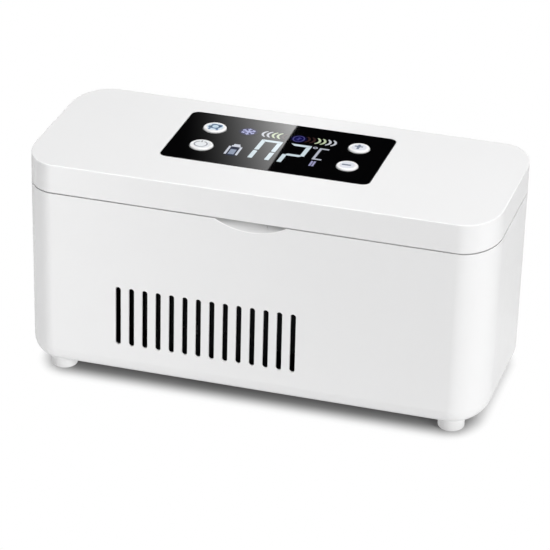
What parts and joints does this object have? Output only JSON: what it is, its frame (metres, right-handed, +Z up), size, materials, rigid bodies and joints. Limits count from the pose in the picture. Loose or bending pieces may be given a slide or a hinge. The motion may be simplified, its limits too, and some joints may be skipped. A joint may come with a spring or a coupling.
{
  "type": "insulin cooling case",
  "caption": "Powered cool box with a rear-hinged lid, a lit display with four push buttons, a lidded aluminium chamber, a fan-cooled Peltier stack and vent slots.",
  "frame": {"origin": "on the ground, under the middle of the case", "axes": "+X to the right seen from the front, along the length; +Y to the rear, where the lid is hinged; +Z up"},
  "size_m": [0.22, 0.093, 0.1083],
  "materials": {
    "white_shell": "satin gloss moulded white",
    "inner_white": "fine matte moulded white",
    "button_white": "glossy white caps with printed marks",
    "foot_white": "matte white rubber",
    "screw_steel": "zinc plated",
    "plate_steel": "plain bright steel",
    "chamber_aluminium": "brushed and anodised",
    "sink_aluminium": "milled, satin",
    "sink_black": "extruded, black anodised",
    "foam": "closed-cell foam",
    "ceramic": "plain alumina",
    "fan_black": "matte black moulded",
    "module_black": "matte black moulded",
    "cell_wrap": "shrink wrap",
    "circuit_green": "solder mask",
    "seal_grey": "soft matte seal",
    "lens_black": "polished black acrylic",
    "display_lit": "dark module with lit digits"
  },
  "bodies": {
    "case": {"housing": "white_shell", "base_plate": "white_shell", "foot_front_left": "foot_white", "foot_front_right": "foot_white", "foot_rear_left": "foot_white", "foot_rear_right": "foot_white", "foot_screw_front_left": "screw_steel", "foot_screw_front_right": "screw_steel", "foot_screw_rear_left": "screw_steel", "foot_screw_rear_right": "screw_steel", "top_deck": "inner_white", "catch_plate_left": "plate_steel", "catch_plate_right": "plate_steel", "hinge_pin_left": "plate_steel", "hinge_pin_right": "plate_steel", "cooling_chamber": "chamber_aluminium", "insulation_foam": "foam", "cold_block": "sink_aluminium", "heat_sink": "sink_black", "peltier_module": "ceramic", "clamp_screw_front": "screw_steel", "clamp_screw_rear": "screw_steel", "fan_frame": "fan_black", "fan_screw_front_left": "screw_steel", "fan_screw_front_right": "screw_steel", "fan_screw_rear_left": "screw_steel", "fan_screw_rear_right": "screw_steel", "battery_tray": "fan_black", "battery_cell_left": "cell_wrap", "battery_cell_right": "cell_wrap", "main_board": "circuit_green", "board_screw_front_left": "screw_steel", "board_screw_front_right": "screw_steel", "board_screw_rear_left": "screw_steel", "board_screw_rear_right": "screw_steel", "dc_jack": "fan_black", "temperature_sensor": "plate_steel"},
    "lid": {"lid_shell": "white_shell", "lid_liner": "inner_white", "lid_foam": "foam", "lid_gasket": "seal_grey", "magnet_left": "plate_steel", "magnet_right": "plate_steel", "display_lens": "lens_black", "display_board": "circuit_green", "digit_display": "display_lit", "display_screw_front_left": "screw_steel", "display_screw_front_right": "screw_steel", "display_screw_rear_left": "screw_steel", "display_screw_rear_right": "screw_steel", "switch_mode": "module_black", "switch_power": "module_black", "switch_plus": "module_black", "switch_minus": "module_black"},
    "fan": {"fan_rotor": "fan_black"},
    "mode_key": {"button_mode": "button_white"},
    "power_key": {"button_power": "button_white"},
    "plus_key": {"button_plus": "button_white"},
    "minus_key": {"button_minus": "button_white"}
  },
  "joints": [
    {"name": "lid_hinge", "type": "hinge", "parent": "case", "child": "lid", "pos_m": [0, 0.0433, 0.0935], "axis": [-1, 0, 0], "range_deg": [0, 95]},
    {"name": "fan_spin", "type": "hinge", "parent": "case", "child": "fan", "pos_m": [-0.0207, -0.0025, 0.0165], "axis": [0, 0, 1], "continuous": true},
    {"name": "mode_press", "type": "slide", "parent": "lid", "child": "mode_key", "axis": [0, 0, -1], "range_m": [0, 0.0005], "stiffness_N_per_m": 600},
    {"name": "power_press", "type": "slide", "parent": "lid", "child": "power_key", "axis": [0, 0, -1], "range_m": [0, 0.0005], "stiffness_N_per_m": 600},
    {"name": "plus_press", "type": "slide", "parent": "lid", "child": "plus_key", "axis": [0, 0, -1], "range_m": [0, 0.0005], "stiffness_N_per_m": 600},
    {"name": "minus_press", "type": "slide", "parent": "lid", "child": "minus_key", "axis": [0, 0, -1], "range_m": [0, 0.0005], "stiffness_N_per_m": 600}
  ]
}
